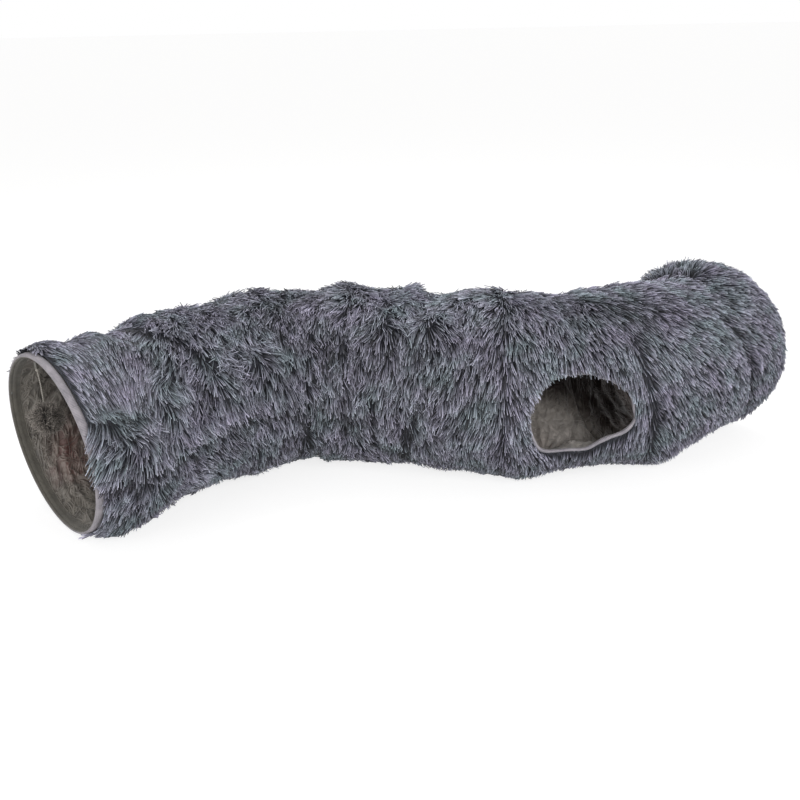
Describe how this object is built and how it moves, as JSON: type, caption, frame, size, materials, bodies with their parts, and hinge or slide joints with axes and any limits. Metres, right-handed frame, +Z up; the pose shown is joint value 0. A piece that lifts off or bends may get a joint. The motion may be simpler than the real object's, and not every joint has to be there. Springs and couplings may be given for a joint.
{
  "type": "cat tunnel",
  "caption": "S-shaped soft play tunnel for cats on spring-steel hoops, with a long-pile plush cover, a round-cornered side peephole and a ball hung in one mouth.",
  "frame": {"origin": "on the floor under the middle bay, where the S changes its bend", "axes": "+X the way the tunnel lies as a whole, from the left mouth to the right one; -Y the side the peephole faces; +Z up"},
  "size_m": [1.1813, 0.5151, 0.2753],
  "materials": {
    "spring_steel": "drawn spring wire",
    "crimped_steel": "plated sleeve",
    "tape": "smooth woven polyester tape",
    "plush": "long-pile polyester plush, blue-grey",
    "lining": "thin creased polyester, warm grey",
    "elastic": "covered elastic cord",
    "pompon": "fuzzy plush ball, grey-beige"
  },
  "bodies": {
    "middle_hoop_4": {"hoop_4": "spring_steel", "ferrule_4": "crimped_steel", "hoop_casing_4": "tape", "plush_bay_3": "plush", "lining_bay_3": "lining", "plush_bay_4": "plush", "lining_bay_4": "lining"},
    "left_hoop_3": {"hoop_3": "spring_steel", "ferrule_3": "crimped_steel", "hoop_casing_3": "tape", "plush_bay_2": "plush", "lining_bay_2": "lining"},
    "left_hoop_2": {"hoop_2": "spring_steel", "ferrule_2": "crimped_steel", "hoop_casing_2": "tape", "plush_bay_1": "plush", "lining_bay_1": "lining"},
    "left_mouth": {"hoop_1": "spring_steel", "ferrule_1": "crimped_steel", "mouth_binding_left": "tape", "toy_tab": "tape"},
    "right_hoop_5": {"hoop_5": "spring_steel", "ferrule_5": "crimped_steel", "hoop_casing_5": "tape", "plush_bay_5": "plush", "lining_bay_5": "lining", "peephole_hem": "tape"},
    "right_hoop_6": {"hoop_6": "spring_steel", "ferrule_6": "crimped_steel", "hoop_casing_6": "tape", "plush_bay_6": "plush", "lining_bay_6": "lining"},
    "right_hoop_7": {"hoop_7": "spring_steel", "ferrule_7": "crimped_steel", "hoop_casing_7": "tape", "plush_bay_7": "plush", "lining_bay_7": "lining"},
    "right_mouth": {"hoop_8": "spring_steel", "ferrule_8": "crimped_steel", "mouth_binding_right": "tape"},
    "knot": {"toy_knot": "elastic"},
    "pendulum": {"toy_cord": "elastic", "toy_ball": "pompon"}
  },
  "joints": [
    {"name": "fold_bay_3", "type": "hinge", "parent": "middle_hoop_4", "child": "left_hoop_3", "pos_m": [-0.16757, -0.22284, 0], "axis": [0, 0, -1], "range_deg": [0, 34.17], "deforming": ["plush_bay_3", "lining_bay_3"]},
    {"name": "fold_bay_2", "type": "hinge", "parent": "left_hoop_3", "child": "left_hoop_2", "pos_m": [-0.10109, -0.40549, 0], "axis": [0, 0, -1], "range_deg": [0, 20.23], "deforming": ["plush_bay_2", "lining_bay_2"]},
    {"name": "fold_bay_1", "type": "slide", "parent": "left_hoop_2", "child": "left_mouth", "axis": [0.7314, 0.682, 0], "range_m": [0, 0.16496], "deforming": ["plush_bay_1", "lining_bay_1"]},
    {"name": "fold_bay_4", "type": "hinge", "parent": "middle_hoop_4", "child": "right_hoop_5", "pos_m": [0.23841, 0.95621, 0], "axis": [0, 0, -1], "range_deg": [0, 8.72], "deforming": ["plush_bay_4", "lining_bay_4"]},
    {"name": "fold_bay_5", "type": "hinge", "parent": "right_hoop_5", "child": "right_hoop_6", "pos_m": [0.13803, 0.3224, 0], "axis": [0, 0, -1], "range_deg": [0, 23.33], "deforming": ["plush_bay_5", "lining_bay_5", "peephole_hem"]},
    {"name": "fold_bay_6", "type": "hinge", "parent": "right_hoop_6", "child": "right_hoop_7", "pos_m": [0.12622, 0.35873, 0], "axis": [0, 0, -1], "range_deg": [0, 17.7], "deforming": ["plush_bay_6", "lining_bay_6"]},
    {"name": "fold_bay_7", "type": "hinge", "parent": "right_hoop_7", "child": "right_mouth", "pos_m": [0.0481, 0.45521, 0], "axis": [0, 0, -1], "range_deg": [0, 9.51], "deforming": ["plush_bay_7", "lining_bay_7"]},
    {"name": "toy_sway", "type": "hinge", "parent": "left_mouth", "child": "knot", "pos_m": [-0.54876, -0.19962, 0.24124], "axis": [0.7314, 0.682, 0], "range_deg": [-50, 50]},
    {"name": "toy_swing", "type": "hinge", "parent": "knot", "child": "pendulum", "pos_m": [-0.54876, -0.19962, 0.24124], "axis": [-0.682, 0.7314, 0], "range_deg": [-60, 60]}
  ],
  "couplings": [
    {"joint": "fold_bay_1", "follows": "fold_bay_3", "m_per_rad": 0.27659},
    {"joint": "fold_bay_2", "follows": "fold_bay_3", "ratio": 0.59202},
    {"joint": "fold_bay_4", "follows": "fold_bay_3", "ratio": 0.25515},
    {"joint": "fold_bay_5", "follows": "fold_bay_3", "ratio": 0.68266},
    {"joint": "fold_bay_6", "follows": "fold_bay_3", "ratio": 0.51785},
    {"joint": "fold_bay_7", "follows": "fold_bay_3", "ratio": 0.27822}
  ]
}
